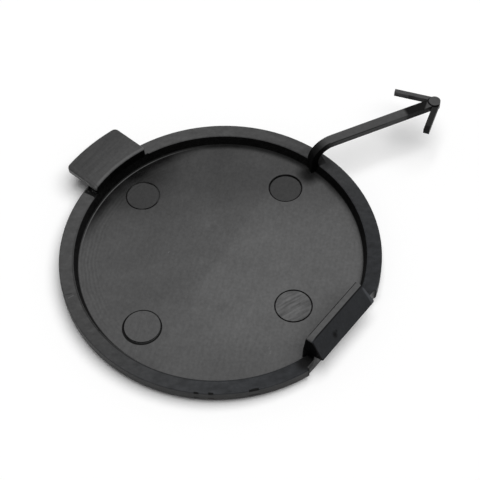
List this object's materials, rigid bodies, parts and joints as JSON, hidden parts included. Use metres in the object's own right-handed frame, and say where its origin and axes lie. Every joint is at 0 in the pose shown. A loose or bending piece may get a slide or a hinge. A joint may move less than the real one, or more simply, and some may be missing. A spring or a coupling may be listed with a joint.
{
  "type": "bumper tow hook cover",
  "caption": "Round snap-in cover for a bumper's tow hook opening: a shallow rimmed dish with a hook tab, a snap clip and a retaining strap that ends in an arrow.",
  "frame": {"origin": "middle of the disc on its flat outer face, the side that faces out of the bumper", "axes": "+Z out of the inner side, where the rim, hook tab and snap clip stand; +X towards the snap clip; +Y towards the retaining strap's post"},
  "size_m": [0.0811, 0.1019, 0.0111],
  "materials": {
    "cover_plastic": "satin black, as moulded"
  },
  "bodies": {
    "root": {"tow_hook_cover": "cover_plastic"}
  },
  "joints": []
}
